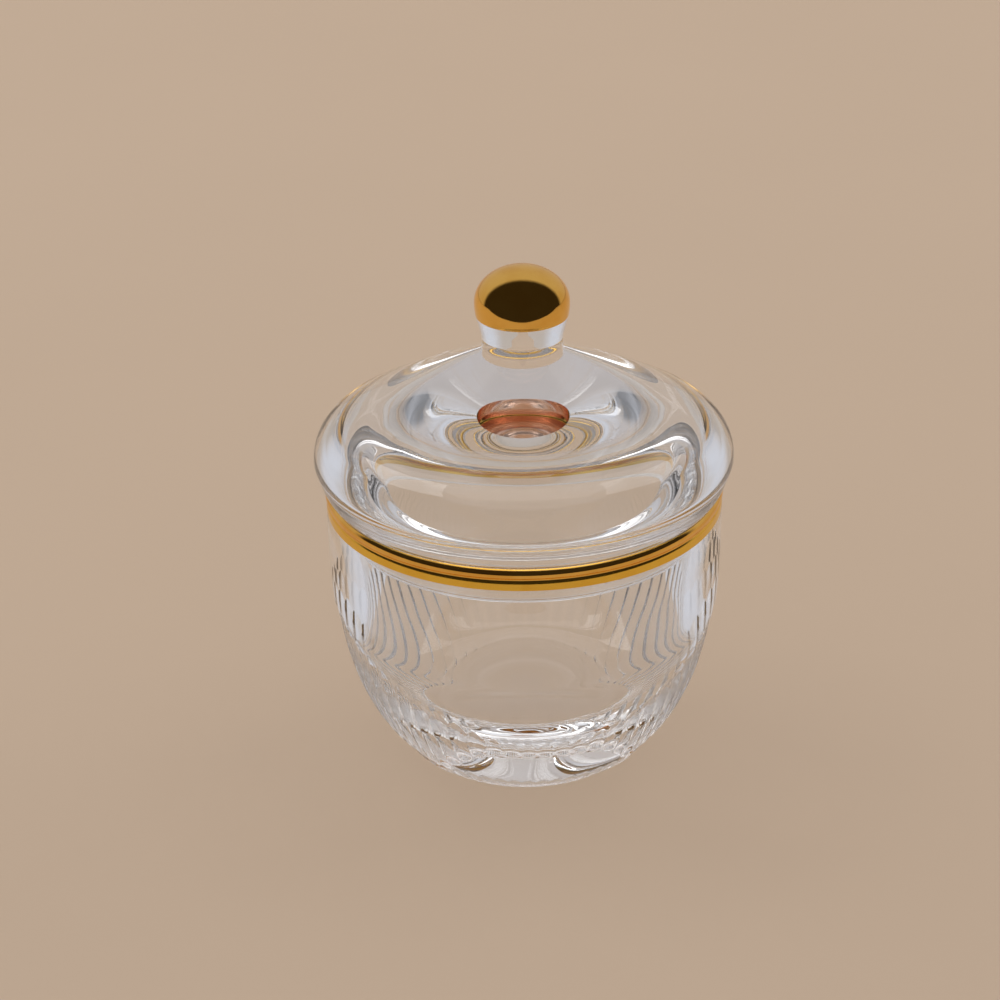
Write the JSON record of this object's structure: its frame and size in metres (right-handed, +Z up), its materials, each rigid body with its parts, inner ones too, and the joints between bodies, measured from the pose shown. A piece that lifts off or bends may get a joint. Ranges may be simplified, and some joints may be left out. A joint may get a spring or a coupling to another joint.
{
  "type": "dappen dish",
  "caption": "Lidded clear glass dappen dish: egg-shaped bowl with cut flutes and a gilded rim, under a domed lid with a gilded ball knob that lifts straight off.",
  "frame": {"origin": "centre of the foot's flat underside, on the surface that the dish stands on", "axes": "+Z up along the axis of revolution, through the knob; X and Y are alike"},
  "size_m": [0.0683, 0.0682, 0.0859],
  "materials": {
    "bowl_glass": "clear crystal, polished, with wheel-cut flutes",
    "lid_glass": "clear crystal, polished",
    "rim_gold": "fired gold, burnished bright on the lip and softer on the band",
    "knob_gold": "fired gold, burnished bright"
  },
  "bodies": {
    "dish": {"bowl": "bowl_glass", "rim_gilding": "rim_gold"},
    "lid": {"lid": "lid_glass", "knob": "lid_glass", "knob_gilding": "knob_gold"}
  },
  "joints": [
    {"name": "lid_lift", "type": "slide", "parent": "dish", "child": "lid", "axis": [0, 0, 1], "range_m": [0, 0.03]}
  ]
}
